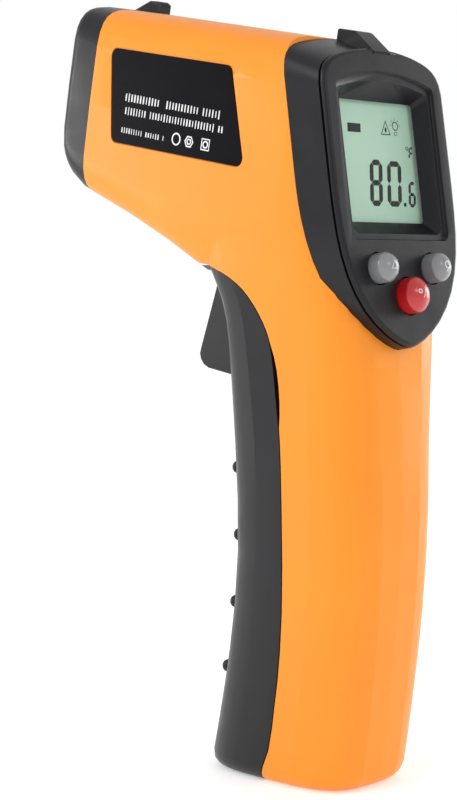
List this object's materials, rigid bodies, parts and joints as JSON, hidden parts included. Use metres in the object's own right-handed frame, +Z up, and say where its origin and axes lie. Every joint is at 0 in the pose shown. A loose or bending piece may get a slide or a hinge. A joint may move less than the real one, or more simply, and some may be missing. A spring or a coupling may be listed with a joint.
{
  "type": "infrared thermometer",
  "caption": "Pistol-grip infrared thermometer: orange shell halves, black nose cap, display bezel with buttons, trigger and a hinged battery door.",
  "frame": {"origin": "centre of the grip's flat base, on the surface it stands on", "axes": "+Z up through the grip, +Y where the nose points, +X to the user's right"},
  "size_m": [0.0384, 0.0885, 0.1646],
  "materials": {
    "orange_abs": "satin",
    "black_abs": "satin",
    "label_film": "satin",
    "caution_film": "satin",
    "clear_acrylic": "gloss",
    "lcd": "gloss",
    "white_plastic": "satin",
    "dark_rubber": "matte",
    "circuit_board": "satin",
    "steel": "satin",
    "dark_plastic": "matte",
    "grey_button": "satin",
    "red_button": "satin",
    "trigger_black": "satin",
    "spring_steel": "gloss",
    "ir_glass": "gloss",
    "nickel": "gloss",
    "brass": "satin",
    "cell_wrap": "satin",
    "red_wire": "satin",
    "black_wire": "satin",
    "white_wire": "satin"
  },
  "bodies": {
    "housing": {"left_shell": "orange_abs", "right_shell": "orange_abs", "front_cap": "black_abs", "display_bezel": "black_abs", "side_label": "label_film", "caution_label": "caution_film", "display_window": "clear_acrylic", "lcd_glass": "lcd", "lcd_frame": "white_plastic", "backlight_plate": "white_plastic", "zebra_strip": "dark_rubber", "main_board": "circuit_board", "board_screws": "steel", "button_switches": "dark_plastic", "trigger_pin": "steel", "trigger_spring": "spring_steel", "trigger_board": "circuit_board", "trigger_switch": "dark_plastic", "optics_bracket": "dark_plastic", "lens_funnel": "dark_plastic", "ir_lens": "ir_glass", "thermopile": "nickel", "sensor_board": "circuit_board", "laser_module": "brass", "battery_tray": "dark_plastic", "cell_1": "cell_wrap", "cell_2": "cell_wrap", "contact_springs": "spring_steel", "contact_plates": "nickel", "door_pin": "steel", "shell_screws": "steel", "lead_red": "red_wire", "lead_black": "black_wire", "sensor_leads": "white_wire", "laser_leads": "red_wire"},
    "laser_key": {"laser_button": "grey_button", "laser_plunger": "white_plastic"},
    "backlight_key": {"backlight_button": "grey_button", "backlight_plunger": "white_plastic"},
    "unit_key": {"unit_button": "red_button", "unit_plunger": "white_plastic"},
    "trigger": {"trigger": "trigger_black"},
    "trigger_plunger": {"trigger_plunger": "white_plastic"},
    "battery_door": {"battery_door": "black_abs"}
  },
  "joints": [
    {"name": "laser_press", "type": "slide", "parent": "housing", "child": "laser_key", "axis": [0, 0.989, -0.1478], "range_m": [0, 0.0008], "stiffness_N_per_m": 400},
    {"name": "backlight_press", "type": "slide", "parent": "housing", "child": "backlight_key", "axis": [0, 0.989, -0.1478], "range_m": [0, 0.0008], "stiffness_N_per_m": 400},
    {"name": "unit_press", "type": "slide", "parent": "housing", "child": "unit_key", "axis": [0, 0.989, -0.1478], "range_m": [0, 0.0008], "stiffness_N_per_m": 400},
    {"name": "trigger_pull", "type": "hinge", "parent": "housing", "child": "trigger", "pos_m": [0, 0.0155, 0.1105], "axis": [-1, 0, 0], "range_deg": [0, 9], "stiffness_Nm_per_rad": 0.4, "deforming": ["trigger_spring"]},
    {"name": "plunger_press", "type": "slide", "parent": "housing", "child": "trigger_plunger", "axis": [0, -1, 0], "range_m": [0, 0.0018]},
    {"name": "door_swing", "type": "hinge", "parent": "housing", "child": "battery_door", "pos_m": [0, 0.0148, 0.0044], "axis": [-1, 0, 0], "range_deg": [0, 45]}
  ],
  "couplings": [
    {"joint": "plunger_press", "follows": "trigger_pull", "m_per_rad": 0.011}
  ]
}
